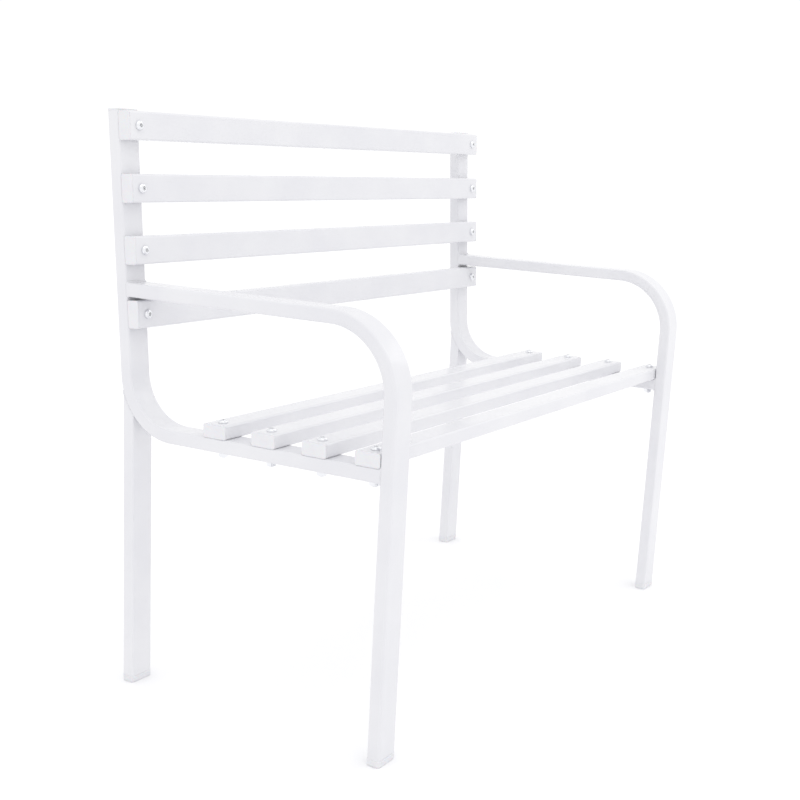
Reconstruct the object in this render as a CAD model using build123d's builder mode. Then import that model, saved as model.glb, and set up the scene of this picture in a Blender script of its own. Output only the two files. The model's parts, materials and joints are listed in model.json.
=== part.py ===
from build123d import *
import os
from math import cos, radians, sin, tan

# Garden bench of rectangular steel tube, in millimetres.
# X runs along the bench, the seat faces -Y, Z is up and the feet stand on Z = 0.
# "Left" is the -X end, as seen from in front of the seat.

# Overall sizes
bench_length = 970.0        # over the outer faces of the two side frames
leg_spread = 473.0          # front face of a front leg to back face of a rear leg
seat_height = 436.0         # top of the front seat slat, on the line of the front face
arm_height = 595.0          # underside of the armrest, on the line of the front leg
post_height = 847.0         # cut top of the back post, on its centre line

# Tube, the same section for frames and slats
tube_width = 40.0
tube_depth = 20.0
tube_wall = 1.2
tube_corner = 3.0

# Lines of the side frame
arm_slope = 0.7             # degrees, falling towards the back
seat_slope = 1.3            # degrees, falling towards the back
post_lean = 3.9             # degrees from upright
post_step = 2.0             # post's back line behind the rear leg, at seat height
arm_bend_radius = 98.0      # on the centre line of the tube
seat_bend_radius = 84.0     # on the centre line of the tube

# Slats
back_slat_names = ["top", "upper", "lower", "bottom"]
seat_slat_names = ["front", "mid_front", "mid_rear", "rear"]
top_slat_height = 827.0     # middle of the top back slat
back_slat_pitch = 86.0      # up the height of the bench
bottom_slat_drop = 4.5      # the bottom back slat hangs lower by this, to clear the armrest
seat_slat_pitch = 86.2
leg_to_slat_gap = 1.0       # between the front leg and the front seat slat

# Bolts, washers and nuts: M8, button head
bolt_diameter = 8.0
bolt_length = 50.0
bolt_clearance = 1.0        # hole over bolt, in the tubes
head_diameter = 14.0
head_height = 4.4
head_round = 3.6
socket_width = 5.0
socket_depth = 2.6
washer_diameter = 16.0
washer_thickness = 1.6
washer_clearance = 0.4      # hole over bolt, in the washers
nut_width = 13.0            # across the flats
nut_height = 6.8
thread_clearance = 0.2      # nut bore over bolt, which stands for the thread

# Moulded plugs and feet
plug_clearance = 0.15       # skirt to the inside of the tube, each side
plug_skirt_wall = 2.0
slat_plug_flange = 2.5
slat_plug_skirt = 11.0
post_plug_flange = 3.0
post_plug_skirt = 11.0
plug_edge_round = 0.8
foot_lip = 0.8              # foot stands out this far beyond the tube, all round
foot_height = 10.0
foot_skirt = 18.0
foot_edge_round = 1.5

# Places that follow from the sizes above
lean, fall = radians(post_lean), radians(seat_slope)
seat_normal = Vector(0, sin(fall), cos(fall))
post_normal = Vector(0, -cos(lean), sin(lean))
frame_middle = (bench_length - tube_width) / 2
sides = {"left": -frame_middle, "right": frame_middle}
post_back_at_seat = leg_spread + post_step


def post_front(height):
    """Distance from the front leg's face back to the post's front face, at a height."""
    return post_back_at_seat - tube_depth / cos(lean) + (height - seat_height) * tan(lean)


def post_middle(height):
    """Distance from the front leg's face back to the post's centre line, at a height."""
    return post_front(height) + tube_depth / 2 / cos(lean)


bolt_end_reach = (bolt_length - tube_depth) * cos(lean) + bolt_diameter / 2 * sin(lean)
reach_behind = post_front(top_slat_height - tube_depth / 2 * sin(lean)) + bolt_end_reach
front_y = (foot_lip - reach_behind) / 2      # centres the bench on Y = 0
leg_back_y = front_y + leg_spread


def seat_top(distance):
    """Height of the seat's top face, at a distance behind the front leg's face."""
    return seat_height - distance * tan(fall)


# The rail lies under the slats; its centre line meets the post's at the corner
rail_drop = 1.5 * tube_depth / cos(fall)
rail_corner = (post_middle(seat_height) - rail_drop * tan(lean)) / (1 + tan(fall) * tan(lean))


def tube_section():
    """Outline of the tube with its bore, drawn on the sketch in hand."""
    RectangleRounded(tube_width, tube_depth, tube_corner)
    bore_width = tube_width - 2 * tube_wall
    bore_depth = tube_depth - 2 * tube_wall
    RectangleRounded(bore_width, bore_depth, tube_corner - tube_wall, mode=Mode.SUBTRACT)


def skirt_section():
    """Hollow skirt of a plug, which slides into the bore of the tube."""
    gap = tube_wall + plug_clearance
    skirt_corner = tube_corner - tube_wall
    RectangleRounded(tube_width - 2 * gap, tube_depth - 2 * gap, skirt_corner)
    inset = gap + plug_skirt_wall
    Rectangle(tube_width - 2 * inset, tube_depth - 2 * inset, mode=Mode.SUBTRACT)


def on_frame(face, x):
    """Plane of a slat moved along the bench to a side frame."""
    return Plane(face.origin + Vector(x, 0, 0), x_dir=face.x_dir, z_dir=face.z_dir)


def across(path, position):
    """Plane square to a side frame path, with its X along the bench."""
    return Plane(path.line @ position, x_dir=(1, 0, 0), z_dir=path.line % position)


def end_plane(face, x):
    """Plane facing +X through a slat at x, with its X up the slat's broad face."""
    return Plane(face.origin + Vector(x, 0, 0), x_dir=face.y_dir, z_dir=(1, 0, 0))


def finish(piece, label):
    """Name the piece and write it to its own file."""
    piece.part.label = label
    export_step(piece.part, f"parts/{label}.step")


os.makedirs("parts", exist_ok=True)

# Middles of the slats, as planes that face out of the seat and out of the back
back_slats = {}
for row, name in enumerate(back_slat_names):
    height = top_slat_height - row * back_slat_pitch
    if name == "bottom":
        height -= bottom_slat_drop
    rest_point = Vector(0, front_y + post_front(height), height)
    middle = rest_point + post_normal * (tube_depth / 2)
    back_slats[name] = Plane(middle, x_dir=(1, 0, 0), z_dir=post_normal)

seat_slats = {}
for row, name in enumerate(seat_slat_names):
    distance = tube_depth + leg_to_slat_gap + tube_width / 2 + row * seat_slat_pitch
    middle = Vector(0, front_y + distance, seat_top(distance)) - seat_normal * (tube_depth / 2)
    seat_slats[name] = Plane(middle, x_dir=(1, 0, 0), z_dir=seat_normal)

slat_groups = {"back": back_slats, "seat": seat_slats}
hole_radius = (bolt_diameter + bolt_clearance) / 2

for side, x in sides.items():
    frame_plane = Plane.YZ.offset(x)

    # Armrest and front leg, one bent tube, cut to the post's front face
    post_face = Plane(Vector(x, front_y + post_front(arm_height), arm_height), z_dir=post_normal)
    leg_middle_y = front_y + tube_depth / 2
    arm_middle_z = arm_height + tube_depth / 2
    arm_overrun = post_front(arm_height)
    bend_room = arm_middle_z - seat_height      # the leg is straight up to the seat
    with BuildLine(frame_plane) as arm_path:
        FilletPolyline(
            (leg_middle_y + arm_overrun, arm_middle_z - arm_overrun * tan(radians(arm_slope))),
            (leg_middle_y, arm_middle_z),
            (leg_middle_y, foot_height),
            radius=min(arm_bend_radius, bend_room),
        )
    with BuildPart() as arm_leg:
        with BuildSketch(across(arm_path, 0)):
            tube_section()
        sweep(path=arm_path.line)
        split(bisect_by=post_face, keep=Keep.TOP)
    finish(arm_leg, f"{side}_arm_and_front_leg")

    # Back post and seat rail, one bent tube, cut to the front leg's back face
    with BuildLine(frame_plane) as post_path:
        FilletPolyline(
            (front_y + post_middle(post_height), post_height),
            (front_y + rail_corner, seat_top(rail_corner) - rail_drop),
            (front_y, seat_top(0) - rail_drop),
            radius=seat_bend_radius,
        )
    bend_centre = post_path.edges().filter_by(GeomType.CIRCLE)[0].arc_center
    with BuildPart() as post_rail:
        with BuildSketch(across(post_path, 0)):
            tube_section()
        sweep(path=post_path.line)
        split(bisect_by=Plane.XZ.offset(-front_y - tube_depth), keep=Keep.BOTTOM)
        for plane in [*back_slats.values(), *seat_slats.values()]:
            with BuildSketch(on_frame(plane, x)):
                Circle(hole_radius)
            extrude(amount=-2 * tube_depth, mode=Mode.SUBTRACT)
    finish(post_rail, f"{side}_post_and_seat_rail")

    # Rear leg, with its top coped to the outside of the bend above it
    with BuildPart() as rear_leg:
        with BuildSketch(Plane.XY.offset(foot_height)):
            with Locations((x, leg_back_y - tube_depth / 2)):
                tube_section()
        extrude(amount=bend_centre.Z - foot_height)
        with BuildSketch(Plane.YZ.offset(x - tube_width)):
            with Locations((bend_centre.Y, bend_centre.Z)):
                Circle(seat_bend_radius + tube_depth / 2)
        extrude(amount=2 * tube_width, mode=Mode.SUBTRACT)
    finish(rear_leg, f"{side}_rear_leg")

    # Plug in the top of the post
    with BuildPart() as post_plug:
        with BuildSketch(across(post_path, 0)):
            RectangleRounded(tube_width, tube_depth, tube_corner)
        extrude(amount=-post_plug_flange)
        up_the_post = Axis(post_path.line @ 0, -(post_path.line % 0))
        fillet(post_plug.faces().sort_by(up_the_post)[-1].edges(), plug_edge_round)
        with BuildSketch(across(post_path, 0)):
            skirt_section()
        extrude(amount=post_plug_skirt)
    finish(post_plug, f"{side}_post_plug")

    # Feet
    foot_width = tube_width + 2 * foot_lip
    foot_depth = tube_depth + 2 * foot_lip
    foot_places = {"front": front_y + tube_depth / 2, "rear": leg_back_y - tube_depth / 2}
    for place, y in foot_places.items():
        with BuildPart() as foot:
            with BuildSketch(Plane.XY):
                with Locations((x, y)):
                    RectangleRounded(foot_width, foot_depth, tube_corner + foot_lip)
            extrude(amount=foot_height)
            fillet(foot.faces().sort_by(Axis.Z)[0].edges(), foot_edge_round)
            fillet(foot.faces().sort_by(Axis.Z)[-1].edges(), foot_lip / 2)
            with BuildSketch(Plane.XY.offset(foot_height)):
                with Locations((x, y)):
                    skirt_section()
            extrude(amount=foot_skirt)
        finish(foot, f"{side}_{place}_foot")

# Slats: closed at both ends by a plug, drilled for a bolt at each side frame
slat_tube_length = bench_length - 2 * slat_plug_flange
for group, slats in slat_groups.items():
    for name, face in slats.items():
        with BuildPart() as slat:
            with BuildSketch(end_plane(face, -slat_tube_length / 2)):
                tube_section()
            extrude(amount=slat_tube_length)
            with BuildSketch(face.offset(tube_depth / 2)):
                with Locations(*[(x, 0) for x in sides.values()]):
                    Circle(hole_radius)
            extrude(amount=-tube_depth, mode=Mode.SUBTRACT)
        finish(slat, f"{group}_slat_{name}")

        for side, x in sides.items():
            outward = 1 if x > 0 else -1
            mouth = end_plane(face, outward * slat_tube_length / 2)
            with BuildPart() as slat_plug:
                with BuildSketch(mouth):
                    RectangleRounded(tube_width, tube_depth, tube_corner)
                extrude(amount=outward * slat_plug_flange)
                outer_face = slat_plug.faces().sort_by(Axis.X)[-1 if x > 0 else 0]
                fillet(outer_face.edges(), plug_edge_round)
                with BuildSketch(mouth):
                    skirt_section()
                extrude(amount=-outward * slat_plug_skirt)
            finish(slat_plug, f"{group}_slat_{name}_{side}_plug")

# Bolts from the slat faces through the frame tubes, with a washer and a nut behind
for group, slats in slat_groups.items():
    for side, x in sides.items():
        head_planes = [on_frame(face.offset(tube_depth / 2), x) for face in slats.values()]
        outward_axis = Axis(head_planes[0].origin, head_planes[0].z_dir)

        with BuildPart() as bolts:
            with BuildSketch(*head_planes):
                Circle(head_diameter / 2)
            extrude(amount=head_height)
            fillet(bolts.edges().group_by(outward_axis)[-1], head_round)
            with BuildSketch(*[plane.offset(head_height) for plane in head_planes]):
                RegularPolygon(socket_width / 2, 6, major_radius=False)
            extrude(amount=-socket_depth, mode=Mode.SUBTRACT)
            with BuildSketch(*head_planes):
                Circle(bolt_diameter / 2)
            extrude(amount=-bolt_length)
        finish(bolts, f"{side}_{group}_bolts")

        washer_planes = [plane.offset(-2 * tube_depth) for plane in head_planes]
        with BuildPart() as washers:
            with BuildSketch(*washer_planes):
                Circle(washer_diameter / 2)
                Circle((bolt_diameter + washer_clearance) / 2, mode=Mode.SUBTRACT)
            extrude(amount=-washer_thickness)
        finish(washers, f"{side}_{group}_washers")

        nut_planes = [plane.offset(-washer_thickness) for plane in washer_planes]
        with BuildPart() as nuts:
            with BuildSketch(*nut_planes):
                RegularPolygon(nut_width / 2, 6, major_radius=False)
                Circle((bolt_diameter + thread_clearance) / 2, mode=Mode.SUBTRACT)
            extrude(amount=-nut_height)
        finish(nuts, f"{side}_{group}_nuts")
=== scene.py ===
import bmesh
import bpy
import json
from math import cos, pi, radians, sin, sqrt, tan
from mathutils import Matrix, Vector
from mathutils.geometry import intersect_line_plane

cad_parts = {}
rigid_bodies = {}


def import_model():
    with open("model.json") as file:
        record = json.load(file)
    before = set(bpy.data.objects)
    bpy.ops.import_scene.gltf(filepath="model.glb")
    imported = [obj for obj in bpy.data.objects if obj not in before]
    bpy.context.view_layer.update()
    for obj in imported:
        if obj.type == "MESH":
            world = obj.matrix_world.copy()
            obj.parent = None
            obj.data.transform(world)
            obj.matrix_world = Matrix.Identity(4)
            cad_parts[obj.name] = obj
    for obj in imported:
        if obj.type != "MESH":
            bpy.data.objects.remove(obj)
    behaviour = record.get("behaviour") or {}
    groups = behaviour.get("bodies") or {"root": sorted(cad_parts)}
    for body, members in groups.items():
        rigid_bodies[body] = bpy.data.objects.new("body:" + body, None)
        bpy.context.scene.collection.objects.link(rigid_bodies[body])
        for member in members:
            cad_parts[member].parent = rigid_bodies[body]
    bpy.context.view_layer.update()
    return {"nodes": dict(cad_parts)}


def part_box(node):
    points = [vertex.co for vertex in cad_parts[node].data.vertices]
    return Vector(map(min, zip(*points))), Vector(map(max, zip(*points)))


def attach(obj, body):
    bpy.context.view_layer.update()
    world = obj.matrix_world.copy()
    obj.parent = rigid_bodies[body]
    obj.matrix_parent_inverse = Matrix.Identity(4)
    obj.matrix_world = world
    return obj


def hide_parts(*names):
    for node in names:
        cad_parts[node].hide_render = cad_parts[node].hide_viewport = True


for leftover in list(bpy.data.objects):
    bpy.data.objects.remove(leftover)

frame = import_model()
mm = 0.001
sides = ("left", "right")
slatNames = {"back": ("top", "upper", "lower", "bottom"), "seat": ("front", "mid_front", "mid_rear", "rear")}

# The tube that both side frames are bent from and the slats are cut from
tube = {
    "width": 40 * mm,
    "depth": 20 * mm,
    "wall": 1.2 * mm,
    "corner": 3 * mm,
    "cornerSteps": 5,
    "armBend": 98 * mm,         # on the centre line
    "seatBend": 84 * mm,        # on the centre line
    "armSlope": radians(0.7),   # falls towards the back
    "seatSlope": radians(1.3),  # falls towards the back
    "postLean": radians(3.9),
    "bendSteps": 30,
    "edgeStrip": 0.5 * mm,      # cut beside each corner, so that the flats shade flat
    "broadCuts": 8,
    "narrowCuts": 2,
    "sharp": radians(40),
}


def middleOf(node):
    low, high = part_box(node)
    return (low + high) / 2


def finishPiece(name, bm, material, sharp, nodes=()):
    for edge in bm.edges:       # flats stay flat: sharp at corners and at open rims
        edge.smooth = len(edge.link_faces) == 2 and edge.calc_face_angle() < sharp
    for face in bm.faces:
        face.smooth = True
    mesh = bpy.data.meshes.new(name)
    bm.to_mesh(mesh)
    bm.free()
    mesh.materials.append(material)
    piece = bpy.data.objects.new(name, mesh)
    bpy.context.scene.collection.objects.link(piece)
    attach(piece, "root")
    if nodes:
        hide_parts(*nodes)
    return piece


def everything(bm):
    return bm.verts[:] + bm.edges[:] + bm.faces[:]


def vertsIn(made):
    return [part for part in made if isinstance(part, bmesh.types.BMVert)]


def edgesIn(made):
    return [part for part in made if isinstance(part, bmesh.types.BMEdge)]


def openEdges(bm):
    return [edge for edge in bm.edges if edge.is_boundary]


def rimEdges(face):
    return list(face.edges)


def ringOf(verts):
    return list({edge for vert in verts for edge in vert.link_edges})


def highestFace(bm):
    return max(bm.faces, key=lambda face: face.calc_center_median().z)


def lowestFace(bm):
    return min(bm.faces, key=lambda face: face.calc_center_median().z)


def standOn(origin, outward):
    # matrix with its Z along outward and its X along the bench
    zAxis = outward.normalized()
    xAxis = Vector((1, 0, 0))
    yAxis = zAxis.cross(xAxis)
    return Matrix.Translation(origin) @ Matrix((xAxis, yAxis, zAxis)).transposed().to_4x4()


def cut(bm, place, normal, clear=False, reach=1e-6):
    # cut along a plane; clear takes away what lies on the normal's side
    bmesh.ops.bisect_plane(bm, geom=everything(bm), dist=reach, plane_co=place, plane_no=normal,
                           clear_outer=clear)


def roundOff(bm, edges, offset, steps):
    bmesh.ops.bevel(bm, geom=edges, offset=offset, affect="EDGES", segments=steps, profile=0.5, material=-1)


def inset(bm, face, thickness):
    bmesh.ops.inset_region(bm, faces=[face], thickness=thickness)


def turnOut(bm):
    bmesh.ops.recalc_face_normals(bm, faces=bm.faces[:])


def roundedFace(bm, width, depth, corner, steps):
    # a flat rounded rectangle on XY
    verts = bmesh.ops.create_grid(bm, x_segments=1, y_segments=1, size=0.5)["verts"]
    bmesh.ops.scale(bm, vec=(width, depth, 1), verts=verts)
    bmesh.ops.bevel(bm, geom=verts, offset=corner, affect="VERTICES", segments=steps, profile=0.5,
                    material=-1)
    bm.faces.ensure_lookup_table()
    return bm.faces[0]


def liftFace(bm, face, height, grow=(1, 1)):
    # extrude one face along Z, widen its end, and return the end face
    made = bmesh.ops.extrude_face_region(bm, geom=[face])["geom"]
    verts = vertsIn(made)
    bmesh.ops.translate(bm, vec=(0, 0, height), verts=verts)
    bmesh.ops.scale(bm, vec=(*grow, 1), verts=verts)
    end = [part for part in made if isinstance(part, bmesh.types.BMFace)][0]
    if face.is_valid:
        bmesh.ops.delete(bm, geom=[face], context="FACES_ONLY")
    return end


def linear(hexColour):
    channels = [int(hexColour[i:i + 2], 16) / 255 for i in (1, 3, 5)]
    return [c / 12.92 if c <= 0.04045 else ((c + 0.055) / 1.055) ** 2.4 for c in channels] + [1]


def addNode(tree, kind, settings=(), links=()):
    node = tree.nodes.new(kind)
    for key, value in dict(settings).items():
        if isinstance(key, int) or key in node.inputs:
            node.inputs[key].default_value = value
        else:
            setattr(node, key, value)
    for socket, source in dict(links).items():
        tree.links.new(source, node.inputs[socket])
    return node


def addNoise(tree, place, size, **settings):
    # size is the pattern's size on the object in millimetres; coordinates are in metres
    noise = addNode(tree, "ShaderNodeTexNoise", {"Scale": 1 / (size * mm), **settings}, {"Vector": place})
    return noise.outputs["Fac"]


def addSpread(tree, source, fromEnds, toEnds):
    ends = {"From Min": fromEnds[0], "From Max": fromEnds[1], "To Min": toEnds[0], "To Max": toEnds[1]}
    return addNode(tree, "ShaderNodeMapRange", ends, {"Value": source}).outputs["Result"]


def addBlend(tree, first, second, share):
    ends = {"data_type": "RGBA", 6: linear(first), 7: linear(second)}
    return addNode(tree, "ShaderNodeMix", ends, {0: share}).outputs[2]


def addBump(tree, strength, distance, links):
    settings = {"Strength": strength, "Distance": distance}
    return addNode(tree, "ShaderNodeBump", settings, links).outputs["Normal"]


def newMaterial(name):
    material = bpy.data.materials.new(name)
    material.use_nodes = True
    tree = material.node_tree
    tree.nodes.clear()
    return material, tree, addNode(tree, "ShaderNodeTexCoord").outputs["Object"]


def finishMaterial(tree, settings, colour, roughness, normal):
    links = {"Base Color": colour, "Roughness": roughness, "Normal": normal}
    shader = addNode(tree, "ShaderNodeBsdfPrincipled", settings, links)
    addNode(tree, "ShaderNodeOutputMaterial", (), {"Surface": shader.outputs["BSDF"]})


def glossPowderCoatedSteel():
    # Polyester powder sprayed on steel tube and baked: an even cool white gloss with a faint
    # orange peel, long soft waves where it flowed, and cloudy patches where hands have dulled it.
    coat = {
        "colour": "#E4E4E7", "thin": "#E0E0E4", "ior": 1.5,
        "cloud": 90, "cloudEnds": (0.35, 0.65),
        "dull": 60, "dullEnds": (0.35, 0.7), "roughness": (0.14, 0.24),
        "wave": 28, "waveStrength": 0.35, "waveHeight": 0.25 * mm,
        "peel": 4.5,            # real orange peel is about 2 mm, drawn coarser so that it shows
        "peelStrength": 0.30, "peelHeight": 0.06 * mm,
    }
    material, tree, place = newMaterial("glossPowderCoatedSteel")
    cloud = addNoise(tree, place, coat["cloud"], Detail=3)
    share = addSpread(tree, cloud, coat["cloudEnds"], (0, 1))
    colour = addBlend(tree, coat["colour"], coat["thin"], share)
    dull = addNoise(tree, place, coat["dull"], Detail=5, Roughness=0.6)
    gloss = addSpread(tree, dull, coat["dullEnds"], coat["roughness"])
    wave = addNoise(tree, place, coat["wave"], Detail=1)
    peel = addNoise(tree, place, coat["peel"], Detail=2, Roughness=0.4)
    waveBump = addBump(tree, coat["waveStrength"], coat["waveHeight"], {"Height": wave})
    peelBump = addBump(tree, coat["peelStrength"], coat["peelHeight"], {"Height": peel, "Normal": waveBump})
    finishMaterial(tree, {"IOR": coat["ior"]}, colour, gloss, peelBump)
    return material


def mouldedPolypropylene():
    # Injection moulded plugs and feet: a satin, slightly waxy white close to the coat's, with the
    # fine spark-eroded grain of the mould and faint flow clouds.
    moulded = {
        "colour": "#E5E5E8", "flow": "#DFDFE3", "ior": 1.49, "soft": 0.06, "softReach": 1.5 * mm,
        "cloud": 14, "cloudEnds": (0.3, 0.7), "roughness": (0.34, 0.48),
        "grain": 0.9,           # real grain is about 0.1 mm, drawn coarser so that it shows
        "grainStrength": 0.4, "grainHeight": 0.05 * mm,
    }
    material, tree, place = newMaterial("mouldedPolypropylene")
    cloud = addNoise(tree, place, moulded["cloud"], Detail=2, Distortion=0.6)
    colour = addBlend(tree, moulded["colour"], moulded["flow"], cloud)
    satin = addSpread(tree, cloud, moulded["cloudEnds"], moulded["roughness"])
    grain = addNoise(tree, place, moulded["grain"], Detail=2)
    bump = addBump(tree, moulded["grainStrength"], moulded["grainHeight"], {"Height": grain})
    body = {"IOR": moulded["ior"], "Subsurface Weight": moulded["soft"]}
    body["Subsurface Scale"] = moulded["softReach"]
    finishMaterial(tree, body, colour, satin, bump)
    return material


def brightZincPlatedSteel():
    # Cold-formed steel with bright zinc and a clear passivate: a silvery metal with a cool tint that
    # drifts from place to place, fine forming marks, and gloss broken by small dull spots.
    plating = {
        "colour": "#F3F3F5", "tint": "#E6E8EC", "drift": 7,
        "mark": 1.1,            # real forming marks are finer, drawn coarser so that they show
        "markEnds": (0.3, 0.7), "roughness": (0.16, 0.32),
        "markStrength": 0.3, "markHeight": 0.04 * mm,
    }
    material, tree, place = newMaterial("brightZincPlatedSteel")
    drift = addNoise(tree, place, plating["drift"], Detail=3)
    colour = addBlend(tree, plating["colour"], plating["tint"], drift)
    mark = addNoise(tree, place, plating["mark"], Detail=4, Roughness=0.7)
    spots = addSpread(tree, mark, plating["markEnds"], plating["roughness"])
    bump = addBump(tree, plating["markStrength"], plating["markHeight"], {"Height": mark})
    finishMaterial(tree, {"Metallic": 1.0}, colour, spots, bump)
    return material


powderCoat = glossPowderCoatedSteel()
plastic = mouldedPolypropylene()
zinc = brightZincPlatedSteel()
print("materials made")


bendShape = {
    "innerDip": 1.0 * mm,       # the inside wall of a bend draws in
    "outerDip": 0.7 * mm,       # the outside wall flattens
    "sideSwell": 0.25 * mm,
    "fade": radians(14),        # over which the dip comes and goes
    "fullness": 1.5,            # how flat the middle of the dip is
}


def tubeOutline(bm, matrix):
    # the tube's outer outline as a ring of edges
    roundedFace(bm, tube["width"], tube["depth"], tube["corner"], tube["cornerSteps"])
    broadEnd = tube["width"] / 2 - tube["corner"] - tube["edgeStrip"]
    for i in range(tube["broadCuts"] + 1):
        cut(bm, (broadEnd * (2 * i / tube["broadCuts"] - 1), 0, 0), (1, 0, 0))
    narrowEnd = tube["depth"] / 2 - tube["corner"] - tube["edgeStrip"]
    for i in range(tube["narrowCuts"] + 1):
        cut(bm, (0, narrowEnd * (2 * i / tube["narrowCuts"] - 1), 0), (0, 1, 0))
    inner = [edge for edge in bm.edges if not edge.is_boundary]
    rim = openEdges(bm)
    bmesh.ops.delete(bm, geom=bm.faces[:], context="FACES_ONLY")
    bmesh.ops.delete(bm, geom=[edge for edge in inner if edge.is_valid], context="EDGES")
    bmesh.ops.delete(bm, geom=[vert for vert in bm.verts if not vert.link_edges], context="VERTS")
    bmesh.ops.transform(bm, matrix=matrix, verts=bm.verts[:])
    return [edge for edge in rim if edge.is_valid]


def runStraight(bm, ring, move):
    made = bmesh.ops.extrude_edge_only(bm, edges=ring)["geom"]
    bmesh.ops.translate(bm, vec=move, verts=vertsIn(made))
    return edgesIn(made)


def runBend(bm, ring, centre, angle):
    verts = list({vert for edge in ring for vert in edge.verts})
    last = bmesh.ops.spin(bm, geom=verts + ring, cent=centre, axis=(1, 0, 0), angle=angle,
                          steps=tube["bendSteps"], use_merge=False)["geom_last"]
    return edgesIn(last)


def dipBend(bm, middleX, centre, radius, startDirection, turn):
    # press the broad walls of the bend in, most in the middle of their width
    flat = tube["width"] / 2 - tube["corner"] / 2
    for vert in bm.verts:
        arm = Vector((0, vert.co.y - centre.y, vert.co.z - centre.z))
        along = startDirection.angle(arm)
        if arm.length > radius + tube["depth"] or along > turn or startDirection.cross(arm).x > 0:
            continue
        rise = min(1, along / bendShape["fade"], (turn - along) / bendShape["fade"])
        rise = rise * rise * (3 - 2 * rise)
        across = (vert.co.x - middleX) / flat
        depth = arm.length - radius
        if abs(across) < 1:
            hollow = (1 - across * across) ** bendShape["fullness"] * rise
            dip = bendShape["innerDip"] if depth < 0 else -bendShape["outerDip"]
            vert.co += arm.normalized() * dip * hollow
        elif abs(depth) < tube["depth"] / 2 - tube["corner"]:
            vert.co.x += bendShape["sideSwell"] * rise * (1 if across > 0 else -1)


def closeTube(name, bm, node):
    # turn every normal outwards with the ends closed, open them again, and give the tube its wall
    ends = bmesh.ops.holes_fill(bm, edges=openEdges(bm), sides=0)["faces"]
    turnOut(bm)
    bmesh.ops.delete(bm, geom=ends, context="FACES_ONLY")
    piece = finishPiece(name, bm, powderCoat, tube["sharp"], [node])
    wall = piece.modifiers.new("wall", "SOLIDIFY")
    wall.thickness = tube["wall"]
    wall.offset = -1
    wall.use_even_offset = True


def bentTubes(side):
    # makes both bent tubes of a side frame, and returns its lines, worked out from where they lie
    armNode = f"{side}_arm_and_front_leg"
    postNode = f"{side}_post_and_seat_rail"
    armLow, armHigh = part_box(armNode)
    postLow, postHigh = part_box(postNode)
    x = (armLow.x + armHigh.x) / 2
    half = tube["depth"] / 2
    lean, fall, slope = tube["postLean"], tube["seatSlope"], tube["armSlope"]
    postUp = Vector((0, sin(lean), cos(lean)))
    postOut = Vector((0, -cos(lean), sin(lean)))
    postTop = Vector((x, postHigh.y - half * cos(lean), postHigh.z - half * sin(lean)))
    postFace = postTop + postOut * half

    # armrest and front leg
    legFoot = Vector((x, armLow.y + half, armLow.z))
    armCentre = Vector((x, legFoot.y + tube["armBend"], armHigh.z - half - tube["armBend"]))
    bm = bmesh.new()
    ring = tubeOutline(bm, Matrix.Translation(legFoot))
    ring = runStraight(bm, ring, Vector((0, 0, armCentre.z - legFoot.z)))
    ring = runBend(bm, ring, armCentre, -(pi / 2 + slope))
    armLine = Vector((0, cos(slope), -sin(slope)))
    runStraight(bm, ring, armLine * (postFace.y - armCentre.y))
    cut(bm, postFace, -postOut, clear=True)
    dipBend(bm, x, armCentre, tube["armBend"], Vector((0, -1, 0)), pi / 2 + slope)
    closeTube(f"{side}ArmAndFrontLeg", bm, armNode)

    # back post and seat rail
    bendCentre = Vector((x, 0, postLow.z + half + tube["seatBend"]))
    bendCentre.y = postTop.y - (postTop.z - bendCentre.z) * tan(lean) - tube["seatBend"] / cos(lean)
    bendStart = bendCentre - postOut * tube["seatBend"]
    turn = pi / 2 - lean + fall
    bm = bmesh.new()
    ring = tubeOutline(bm, Matrix.Translation(postTop) @ Matrix.Rotation(-lean, 4, "X"))
    ring = runStraight(bm, ring, bendStart - postTop)
    ring = runBend(bm, ring, bendCentre, -turn)
    railLine = Vector((0, -cos(fall), sin(fall)))
    legBack = armLow.y + tube["depth"]
    runStraight(bm, ring, railLine * (bendCentre.y - armLow.y))
    cut(bm, (x, legBack, 0), (0, -1, 0), clear=True)
    dipBend(bm, x, bendCentre, tube["seatBend"], -postOut, turn)
    closeTube(f"{side}PostAndSeatRail", bm, postNode)

    armMiddle = armCentre + Vector((0, sin(slope), cos(slope))) * tube["armBend"]
    railMiddle = bendCentre - Vector((0, sin(fall), cos(fall))) * tube["seatBend"]
    return {
        "x": x, "postUp": postUp, "postOut": postOut, "postTop": postTop, "postFace": postFace,
        "armLine": armLine, "armMiddle": armMiddle, "railLine": railLine, "railMiddle": railMiddle,
        "legBack": legBack, "bendCentre": bendCentre,
    }


frames = {side: bentTubes(side) for side in sides}
slatFacing = {
    "back": frames["left"]["postOut"],
    "seat": Vector((0, sin(tube["seatSlope"]), cos(tube["seatSlope"]))),
}
print("bent tubes made")


bead = {
    "radius": 2.1 * mm,
    "ripple": 1.7 * mm,         # from one ripple to the next
    "ringsPerRipple": 4,
    "rippleDepth": 0.13,        # share of the radius
    "ringSides": 8,
    "unevenness": ((0.06, 0.31, 0), (0.04, 0.117, 1)),      # share of the radius, turn per ring, start
    "legTilt": -0.2,            # the rear leg's bead hangs a little under the bend
    "sharp": radians(80),
}


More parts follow.
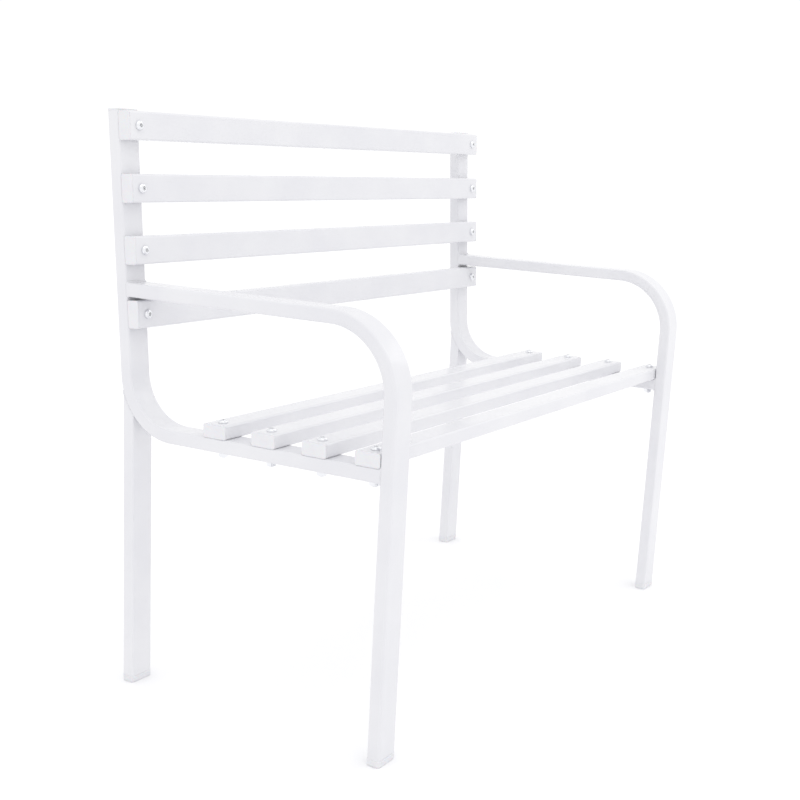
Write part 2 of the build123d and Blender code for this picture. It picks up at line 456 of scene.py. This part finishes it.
def outlineStep(distance):
    # point and outward direction on the tube's outline, that far round it from the end of a broad flat
    corner = tube["corner"]
    flatX = tube["width"] / 2 - corner
    flatY = tube["depth"] / 2 - corner
    stretches = (2 * flatX, corner * pi / 2, 2 * flatY, corner * pi / 2) * 2
    hubs = ((flatX, flatY), (flatX, -flatY), (-flatX, -flatY), (-flatX, flatY))
    index = 0
    while distance > stretches[index]:
        distance -= stretches[index]
        index += 1
    hub = Vector(hubs[index // 2])
    heading = (index // 2) * pi / 2
    onFlat = index % 2 == 0
    if not onFlat:
        heading += distance / corner
    outward = Vector((sin(heading), cos(heading)))
    point = hub + outward * corner
    if onFlat:
        point -= Vector((cos(heading), -sin(heading))) * (stretches[index] - distance)
    return point, outward


def outlineLength():
    return 2 * (tube["width"] + tube["depth"]) - 8 * tube["corner"] + 2 * pi * tube["corner"]


def weldBead(name, seatPoint):
    # seatPoint turns a point and direction on the tube's outline into a place and direction on the joint
    length = outlineLength()
    count = round(length / bead["ripple"]) * bead["ringsPerRipple"]
    places = [seatPoint(*outlineStep((i + 0.5) * length / count)) for i in range(count)]
    bm = bmesh.new()
    rings = []
    for i, (point, outward) in enumerate(places):
        ahead = places[(i + 1) % count][0] - places[i - 1][0]
        ahead.normalize()
        sideways = ahead.cross(outward).normalized()
        turned = Matrix((outward, sideways, ahead)).transposed().to_4x4()
        share = (i % bead["ringsPerRipple"]) / bead["ringsPerRipple"]
        uneven = 1 + sum(height * sin(i * turn + start) for height, turn, start in bead["unevenness"])
        radius = bead["radius"] * uneven * (1 - bead["rippleDepth"] * share)
        ring = bmesh.ops.create_circle(bm, segments=bead["ringSides"], radius=radius,
                                       matrix=Matrix.Translation(point) @ turned)["verts"]
        rings.append(ringOf(ring))
    for i in range(count):
        bmesh.ops.bridge_loops(bm, edges=rings[i] + rings[(i + 1) % count])
    turnOut(bm)
    finishPiece(name, bm, powderCoat, bead["sharp"])


def weldFrame(side):
    lines = frames[side]
    x = lines["x"]
    xAxis = Vector((1, 0, 0))

    def keepOnTube(place):
        reach = tube["width"] / 2 - bead["radius"]
        place.x = min(max(place.x, x - reach), x + reach)
        return place

    def seatOn(middle, line, up, planePoint, planeNormal):
        # a tube that ends on a plane
        def seatPoint(point, outward):
            start = middle + xAxis * point.x + up * point.y
            place = intersect_line_plane(start, start + line, planePoint, planeNormal)
            return keepOnTube(place), (xAxis * outward.x + up * outward.y).normalized()
        return seatPoint

    def legSeat(point, outward):
        # the rear leg, which ends on the outside of the seat bend
        low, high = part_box(f"{side}_rear_leg")
        reach = tube["seatBend"] + tube["depth"] / 2
        y = (low.y + high.y) / 2 + point.y
        drop = sqrt(reach ** 2 - (y - lines["bendCentre"].y) ** 2)
        place = Vector((x + point.x, y, lines["bendCentre"].z - drop))
        return keepOnTube(place), Vector((outward.x, outward.y, bead["legTilt"])).normalized()

    armUp = xAxis.cross(lines["armLine"])
    railUp = lines["railLine"].cross(xAxis)
    legFace = Vector((x, lines["legBack"], 0))
    armSeat = seatOn(lines["armMiddle"], lines["armLine"], armUp, lines["postFace"], lines["postOut"])
    railSeat = seatOn(lines["railMiddle"], lines["railLine"], railUp, legFace, Vector((0, 1, 0)))
    weldBead(f"{side}ArmWeld", armSeat)
    weldBead(f"{side}RailWeld", railSeat)
    weldBead(f"{side}RearLegWeld", legSeat)


for side in sides:
    weldFrame(side)
print("weld beads made")


straightTubes = [f"{group}_slat_{name}" for group in slatNames for name in slatNames[group]]
straightTubes += [f"{side}_rear_leg" for side in sides]
for node in straightTubes:
    frame["nodes"][node].material_slots[0].material = powderCoat


plug = {
    "seam": 0.25 * mm,          # the flange is drawn in beside the tube, which leaves a fine shadow line
    "seamHeight": 0.35 * mm,
    "cornerSteps": 6,
    "crown": 0.3 * mm,
    "crownWidth": 1.4 * mm,
    "crownStrip": 0.2 * mm,     # keeps the middle flat
    "edgeRound": 0.8 * mm,
    "roundSteps": 4,
    "skirtGap": 1.35 * mm,      # tube wall and clearance
    "skirtWall": 2 * mm,
    "skirt": 11 * mm,
    "floor": 1 * mm,            # behind the flange
    "sharp": radians(35),
}


def plugShape(flange):
    # local frame: Z out of the tube, Z = 0 at its mouth
    bm = bmesh.new()
    seamWidth = tube["width"] - 2 * plug["seam"]
    seamDepth = tube["depth"] - 2 * plug["seam"]
    top = roundedFace(bm, seamWidth, seamDepth, tube["corner"], plug["cornerSteps"])
    top = liftFace(bm, top, plug["seamHeight"])
    top = liftFace(bm, top, 0, (tube["width"] / seamWidth, tube["depth"] / seamDepth))
    top = liftFace(bm, top, flange - plug["seamHeight"] - plug["crown"])
    roundOff(bm, rimEdges(top), plug["edgeRound"], plug["roundSteps"])
    crowned = highestFace(bm)
    inset(bm, crowned, plug["crownWidth"])
    bmesh.ops.translate(bm, vec=(0, 0, plug["crown"]), verts=list(crowned.verts))
    inset(bm, crowned, plug["crownStrip"])
    base = bmesh.ops.contextual_create(bm, geom=openEdges(bm))["faces"][0]
    inset(bm, base, plug["skirtGap"] - plug["seam"])
    skirtEnd = liftFace(bm, base, -plug["skirt"])
    inset(bm, skirtEnd, plug["skirtWall"])
    liftFace(bm, skirtEnd, plug["skirt"] - plug["floor"])
    return bm


def plugPiece(name, node, matrix, flange):
    bm = plugShape(flange)
    bmesh.ops.transform(bm, matrix=matrix, verts=bm.verts[:])
    turnOut(bm)
    finishPiece(name, bm, plastic, plug["sharp"], [node])


def slatPlugs(group, name):
    slat = f"{group}_slat_{name}"
    low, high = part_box(slat)
    middle = middleOf(slat)
    upSlat = slatFacing[group].cross(Vector((1, 0, 0)))
    for side in sides:
        outward = Vector((-1 if side == "left" else 1, 0, 0))
        mouth = Vector((low.x if side == "left" else high.x, middle.y, middle.z))
        turned = Matrix((upSlat, outward.cross(upSlat), outward)).transposed().to_4x4()
        plugLow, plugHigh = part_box(f"{slat}_{side}_plug")
        flange = abs((plugLow.x if side == "left" else plugHigh.x) - mouth.x)
        plugPiece(f"{slat}_{side}_end", f"{slat}_{side}_plug", Matrix.Translation(mouth) @ turned, flange)


def postPlug(side):
    lines = frames[side]
    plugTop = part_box(f"{side}_post_plug")[1].z
    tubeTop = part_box(f"{side}_post_and_seat_rail")[1].z
    flange = (plugTop - tubeTop) / cos(tube["postLean"])
    plugPiece(f"{side}PostCap", f"{side}_post_plug", standOn(lines["postTop"], lines["postUp"]), flange)


for group in slatNames:
    for name in slatNames[group]:
        slatPlugs(group, name)
for side in sides:
    postPlug(side)
print("plugs made")


foot = {
    "skirtTop": 18 * mm,
    "cornerSteps": 6,
    "bottomRound": 1.5 * mm,
    "bottomSteps": 5,
    "topRound": 0.4 * mm,
    "topSteps": 3,
    "groove": 0.3 * mm,         # parting groove of the mould
    "grooveHeight": 6.5 * mm,
    "grooveWidth": 0.6 * mm,
    "recess": 0.8 * mm,         # shallow pocket under the sole
    "recessSlope": 0.4 * mm,
    "soleRim": 3.5 * mm,
    "draft": 0.3 * mm,
    "floor": 1 * mm,            # from the step of the foot to the skirt's pocket
    "sharp": radians(35),
}


def footPiece(side, place):
    node = f"{side}_{place}_foot"
    low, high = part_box(node)
    width, depth = high.x - low.x, high.y - low.y
    lip = (width - tube["width"]) / 2
    height = high.z - foot["skirtTop"]
    bm = bmesh.new()
    size = width - 2 * foot["draft"]
    drafted = width - foot["draft"]
    top = roundedFace(bm, size, depth - 2 * foot["draft"], tube["corner"] + lip, foot["cornerSteps"])
    heights = (foot["grooveHeight"], foot["grooveWidth"] / 2, foot["grooveWidth"] / 2,
               height - foot["grooveHeight"] - foot["grooveWidth"])
    widths = (drafted, drafted - 2 * foot["groove"], drafted, width)
    for step, wide in zip(heights, widths):
        top = liftFace(bm, top, step, (wide / size, (depth - width + wide) / (depth - width + size)))
        size = wide
    roundOff(bm, rimEdges(top), foot["topRound"], foot["topSteps"])
    top = max(bm.faces, key=lambda face: face.calc_center_median().z + face.calc_area())
    inset(bm, top, lip - foot["topRound"] + plug["skirtGap"])
    top = liftFace(bm, top, foot["skirtTop"])
    inset(bm, top, plug["skirtWall"])
    liftFace(bm, top, foot["floor"] - foot["skirtTop"])
    sole = bmesh.ops.contextual_create(bm, geom=openEdges(bm))["faces"][0]
    turnOut(bm)
    roundOff(bm, rimEdges(sole), foot["bottomRound"], foot["bottomSteps"])
    sole = min(bm.faces, key=lambda face: face.calc_center_median().z - face.calc_area())
    inset(bm, sole, foot["soleRim"])
    inset(bm, sole, foot["recessSlope"])
    bmesh.ops.translate(bm, vec=(0, 0, foot["recess"]), verts=list(sole.verts))
    bmesh.ops.translate(bm, vec=((low.x + high.x) / 2, (low.y + high.y) / 2, low.z), verts=bm.verts[:])
    turnOut(bm)
    finishPiece(f"{side}{place.capitalize()}FootCap", bm, plastic, foot["sharp"], [node])


for side in sides:
    for place in ("front", "rear"):
        footPiece(side, place)
print("feet made")


bolt = {
    "head": 14 * mm, "headHeight": 4.4 * mm, "sides": 48,
    "dome": 3.5 * mm, "domeSteps": 9, "underRound": 0.3 * mm, "underSteps": 2,
    "socket": 5 * mm,           # across the flats
    "socketDepth": 2.6 * mm, "socketChamfer": 0.25 * mm,
    "drillCone": 0.9 * mm, "drillTip": 0.05,
    "length": 50 * mm, "shank": 8 * mm, "endChamfer": 0.6 * mm, "endShare": 0.82,
    "threadLength": 14 * mm, "threadRunout": 0.4 * mm, "threadDepth": 0.6 * mm,
    "pitch": 1.25 * mm, "turnSteps": 20,
    "ridgeHalf": 0.44,          # share of the pitch
    "ridgeSink": 0.05 * mm,     # into the core
}
washer = {
    "outer": 16 * mm, "inner": 8.4 * mm, "thickness": 1.6 * mm, "sides": 40,
    "edgeRound": 0.2 * mm, "roundSteps": 2, "rimAngle": radians(60),
}
nut = {
    "flats": 13 * mm, "height": 6.8 * mm, "bore": 8.2 * mm, "boreSides": 36, "boreChamfer": 0.5 * mm,
    "chamferCircle": 12.2 * mm, "chamferCuts": 30, "chamferTilt": radians(30),
    "level": 1e-4,              # how far from vertical an end face's normal may be
}
fastener = {"firstTurn": 0.7, "nextTurn": 2.3, "sharp": radians(32)}    # turns in radians, as tightened


def sinkSocket(bm, land):
    # the round land is bridged to a hexagon, which goes down to a drilled point
    hexRadius = bolt["socket"] / sqrt(3)
    mouthRadius = hexRadius + bolt["socketChamfer"]
    known = set(bm.edges)
    bmesh.ops.create_circle(bm, segments=6, radius=mouthRadius,
                            matrix=Matrix.Translation((0, 0, bolt["headHeight"])))
    hexEdges = [edge for edge in bm.edges if edge not in known]
    bmesh.ops.subdivide_edges(bm, edges=hexEdges, cuts=bolt["sides"] // 6 - 1)
    hexEdges = [edge for edge in bm.edges if edge not in known]
    bmesh.ops.bridge_loops(bm, edges=land + hexEdges)
    for drop, factor in ((bolt["socketChamfer"], hexRadius / mouthRadius),
                         (bolt["socketDepth"] - bolt["socketChamfer"], 1),
                         (bolt["drillCone"] / 2, 0.5), (bolt["drillCone"] / 2, bolt["drillTip"])):
        made = bmesh.ops.extrude_edge_only(bm, edges=hexEdges)["geom"]
        hexEdges = edgesIn(made)
        bmesh.ops.translate(bm, vec=(0, 0, -drop), verts=vertsIn(made))
        bmesh.ops.scale(bm, vec=(factor, factor, 1), verts=vertsIn(made))
    bmesh.ops.contextual_create(bm, geom=hexEdges)


def addThread(bm, coreRadius):
    # a triangle spun down the core
    start = bolt["threadLength"] - bolt["length"] - bolt["pitch"]
    half = bolt["pitch"] * bolt["ridgeHalf"]
    corners = [bm.verts.new((coreRadius, 0, start + half)),
               bm.verts.new((bolt["shank"] / 2, 0, start)),
               bm.verts.new((coreRadius, 0, start - half))]
    ridge = [bm.edges.new((corners[i - 1], corners[i])) for i in range(3)]
    turns = (bolt["threadLength"] - 2 * bolt["pitch"] - bolt["endChamfer"]) / bolt["pitch"]
    bmesh.ops.spin(bm, geom=corners + ridge, cent=(0, 0, 0), axis=(0, 0, -1), angle=turns * 2 * pi,
                   steps=round(turns * bolt["turnSteps"]),
                   dvec=(0, 0, -bolt["pitch"] / bolt["turnSteps"]), use_merge=False)
    bmesh.ops.holes_fill(bm, edges=openEdges(bm), sides=3)


def boltShape():
    # local frame: Z out of the slat, Z = 0 under the head
    bm = bmesh.new()
    radius = bolt["head"] / 2
    bmesh.ops.create_cone(bm, cap_ends=True, segments=bolt["sides"], radius1=radius, radius2=radius,
                          depth=bolt["headHeight"], matrix=Matrix.Translation((0, 0, bolt["headHeight"] / 2)))
    roundOff(bm, rimEdges(lowestFace(bm)), bolt["underRound"], bolt["underSteps"])
    roundOff(bm, rimEdges(highestFace(bm)), bolt["dome"], bolt["domeSteps"])
    top, bottom = highestFace(bm), lowestFace(bm)
    land = rimEdges(top)
    bmesh.ops.delete(bm, geom=[top], context="FACES_ONLY")
    sinkSocket(bm, land)

    # shank, then the core of the thread with a chamfered end
    shankRadius = bolt["shank"] / 2
    core = 1 - bolt["threadDepth"] / shankRadius
    inset(bm, bottom, radius - bolt["underRound"] - shankRadius)
    end = liftFace(bm, bottom, bolt["threadLength"] - bolt["length"])
    for drop, factor in ((bolt["threadRunout"], core),
                         (bolt["threadLength"] - bolt["threadRunout"] - bolt["endChamfer"], 1),
                         (bolt["endChamfer"], bolt["endShare"])):
        end = liftFace(bm, end, -drop, (factor, factor))
    addThread(bm, core * shankRadius - bolt["ridgeSink"])
    turnOut(bm)
    return bm


def washerShape():
    # local frame: Z = 0 on the tube, growing to -Z
    bm = bmesh.new()
    outer = bmesh.ops.create_circle(bm, segments=washer["sides"], radius=washer["outer"] / 2)["verts"]
    inner = bmesh.ops.create_circle(bm, segments=washer["sides"], radius=washer["inner"] / 2)["verts"]
    bmesh.ops.bridge_loops(bm, edges=ringOf(outer) + ringOf(inner))
    made = bmesh.ops.extrude_face_region(bm, geom=bm.faces[:])["geom"]
    bmesh.ops.translate(bm, vec=(0, 0, -washer["thickness"]), verts=vertsIn(made))
    turnOut(bm)
    rims = [edge for edge in bm.edges if edge.calc_face_angle() > washer["rimAngle"]]
    roundOff(bm, rims, washer["edgeRound"], washer["roundSteps"])
    return bm


def nutShape():
    # local frame: Z = 0 against the washer, growing to -Z
    bm = bmesh.new()
    half = nut["height"] / 2
    corner = nut["flats"] / sqrt(3)
    bmesh.ops.create_cone(bm, cap_ends=True, segments=6, radius1=corner, radius2=corner, depth=nut["height"])
    for up in (1, -1):
        for i in range(nut["chamferCuts"]):
            turn = 2 * pi * i / nut["chamferCuts"]
            outward = Vector((cos(turn), sin(turn), 0))
            rim = outward * nut["chamferCircle"] / 2 + Vector((0, 0, up * half))
            slant = outward * sin(nut["chamferTilt"]) + Vector((0, 0, up * cos(nut["chamferTilt"])))
            cut(bm, rim, slant, clear=True, reach=1e-7)
            bmesh.ops.holes_fill(bm, edges=openEdges(bm), sides=0)
    bm.normal_update()
    ends = [face for face in bm.faces if abs(abs(face.normal.z) - 1) < nut["level"]]
    bores = []
    for face in ends:
        z = face.calc_center_median().z
        rim = rimEdges(face)
        bmesh.ops.delete(bm, geom=[face], context="FACES_ONLY")
        rings = [rim]
        for radius, height in ((nut["bore"] / 2 + nut["boreChamfer"], z),
                               (nut["bore"] / 2, z * (1 - nut["boreChamfer"] / half))):
            verts = bmesh.ops.create_circle(bm, segments=nut["boreSides"], radius=radius,
                                            matrix=Matrix.Translation((0, 0, height)))["verts"]
            rings.append(ringOf(verts))
        bmesh.ops.bridge_loops(bm, edges=rings[0] + rings[1])
        bmesh.ops.bridge_loops(bm, edges=rings[1] + rings[2])
        bores += rings[2]
    bmesh.ops.bridge_loops(bm, edges=bores)
    bmesh.ops.translate(bm, vec=(0, 0, -half), verts=bm.verts[:])
    turnOut(bm)
    return bm


def groupPiece(name, node, makeShape, places):
    # one piece of several separate copies, each turned differently, as they were tightened
    single = bpy.data.meshes.new(f"{name}Single")
    shape = makeShape()
    shape.to_mesh(single)
    shape.free()
    bm = bmesh.new()
    for i, place in enumerate(places):
        known = set(bm.verts)
        bm.from_mesh(single)
        fresh = [vert for vert in bm.verts if vert not in known]
        turned = Matrix.Rotation(fastener["firstTurn"] + fastener["nextTurn"] * i, 4, "Z")
        bmesh.ops.transform(bm, matrix=place @ turned, verts=fresh)
    bpy.data.meshes.remove(single)
    finishPiece(name, bm, zinc, fastener["sharp"], [node])


def fastenSlats(side, group):
    facing = slatFacing[group]
    heads = []
    for name in slatNames[group]:
        middle = middleOf(f"{group}_slat_{name}")
        face = Vector((frames[side]["x"], middle.y, middle.z)) + facing * tube["depth"] / 2
        heads.append(standOn(face, facing))
    behind = -2 * tube["depth"]     # slat and frame tube
    for kind, makeShape, z in (("bolts", boltShape, 0), ("washers", washerShape, behind),
                               ("nuts", nutShape, behind - washer["thickness"])):
        places = [head @ Matrix.Translation((0, 0, z)) for head in heads]
        name = f"{side}{group.capitalize()}{kind.capitalize()}"
        groupPiece(name, f"{side}_{group}_{kind}", makeShape, places)


for side in sides:
    for group in slatNames:
        fastenSlats(side, group)
print("fasteners made")


studio = {
    "floorSize": 60, "floorColour": "#F9F9FA", "air": 1.05,
    "ceiling": 0.36, "ceilingSpread": radians(70), "ceilingTurn": (radians(16), radians(-12), 0),
    "softbox": 2.6, "softboxSize": 1.1, "softboxPlace": (1.8, -1.5, 2.0), "softboxAim": (-0.1, 0.0, 0.5),
}


def paleFloor():
    bm = bmesh.new()
    bmesh.ops.create_grid(bm, x_segments=8, y_segments=8, size=studio["floorSize"] / 2)
    mesh = bpy.data.meshes.new("floor")
    bm.to_mesh(mesh)
    bm.free()
    floor = bpy.data.objects.new("floor", mesh)
    bpy.context.scene.collection.objects.link(floor)
    material, tree, place = newMaterial("paleStudioFloor")
    shader = addNode(tree, "ShaderNodeBsdfDiffuse", {"Color": linear(studio["floorColour"])})
    addNode(tree, "ShaderNodeOutputMaterial", (), {"Surface": shader.outputs["BSDF"]})
    mesh.materials.append(material)


def addLight(name, kind, location, turn, **settings):
    light = bpy.data.lights.new(name, kind)
    for key, value in settings.items():
        setattr(light, key, value)
    lamp = bpy.data.objects.new(name, light)
    lamp.location = location
    lamp.rotation_euler = turn
    bpy.context.scene.collection.objects.link(lamp)


paleFloor()
world = bpy.data.worlds.new("whiteStudio")
world.use_nodes = True
world.node_tree.nodes["Background"].inputs["Color"].default_value = (1, 1, 1, 1)
world.node_tree.nodes["Background"].inputs["Strength"].default_value = studio["air"]
bpy.context.scene.world = world
bpy.context.scene.view_settings.view_transform = "Standard"
addLight("ceilingLight", "SUN", (0, 0, 3), studio["ceilingTurn"], energy=studio["ceiling"],
         angle=studio["ceilingSpread"])
softboxBack = Vector(studio["softboxPlace"]) - Vector(studio["softboxAim"])
addLight("softbox", "AREA", studio["softboxPlace"], softboxBack.to_track_quat("Z", "Y").to_euler(),
         energy=studio["softbox"], size=studio["softboxSize"])

view = {
    "place": (-1.8258, -1.1169, 0.8297),
    "azimuth": radians(-59.45), "elevation": radians(13.296), "roll": radians(3.345),
    "lens": 57.87, "sensor": 36, "shift": (-0.0521, 0.0581), "clip": (0.05, 200),
}
camera = bpy.data.objects.new("camera", bpy.data.cameras.new("camera"))
bpy.context.scene.collection.objects.link(camera)
camera.data.lens = view["lens"]
camera.data.sensor_width = view["sensor"]
camera.data.shift_x, camera.data.shift_y = view["shift"]
camera.data.clip_start, camera.data.clip_end = view["clip"]
azimuth, elevation = view["azimuth"], view["elevation"]
back = Vector((sin(azimuth) * cos(elevation), -cos(azimuth) * cos(elevation), sin(elevation)))
level = back.to_track_quat("Z", "Y").to_matrix().to_4x4()
camera.matrix_world = Matrix.Translation(view["place"]) @ level @ Matrix.Rotation(view["roll"], 4, "Z")
bpy.context.scene.camera = camera
print("studio made")
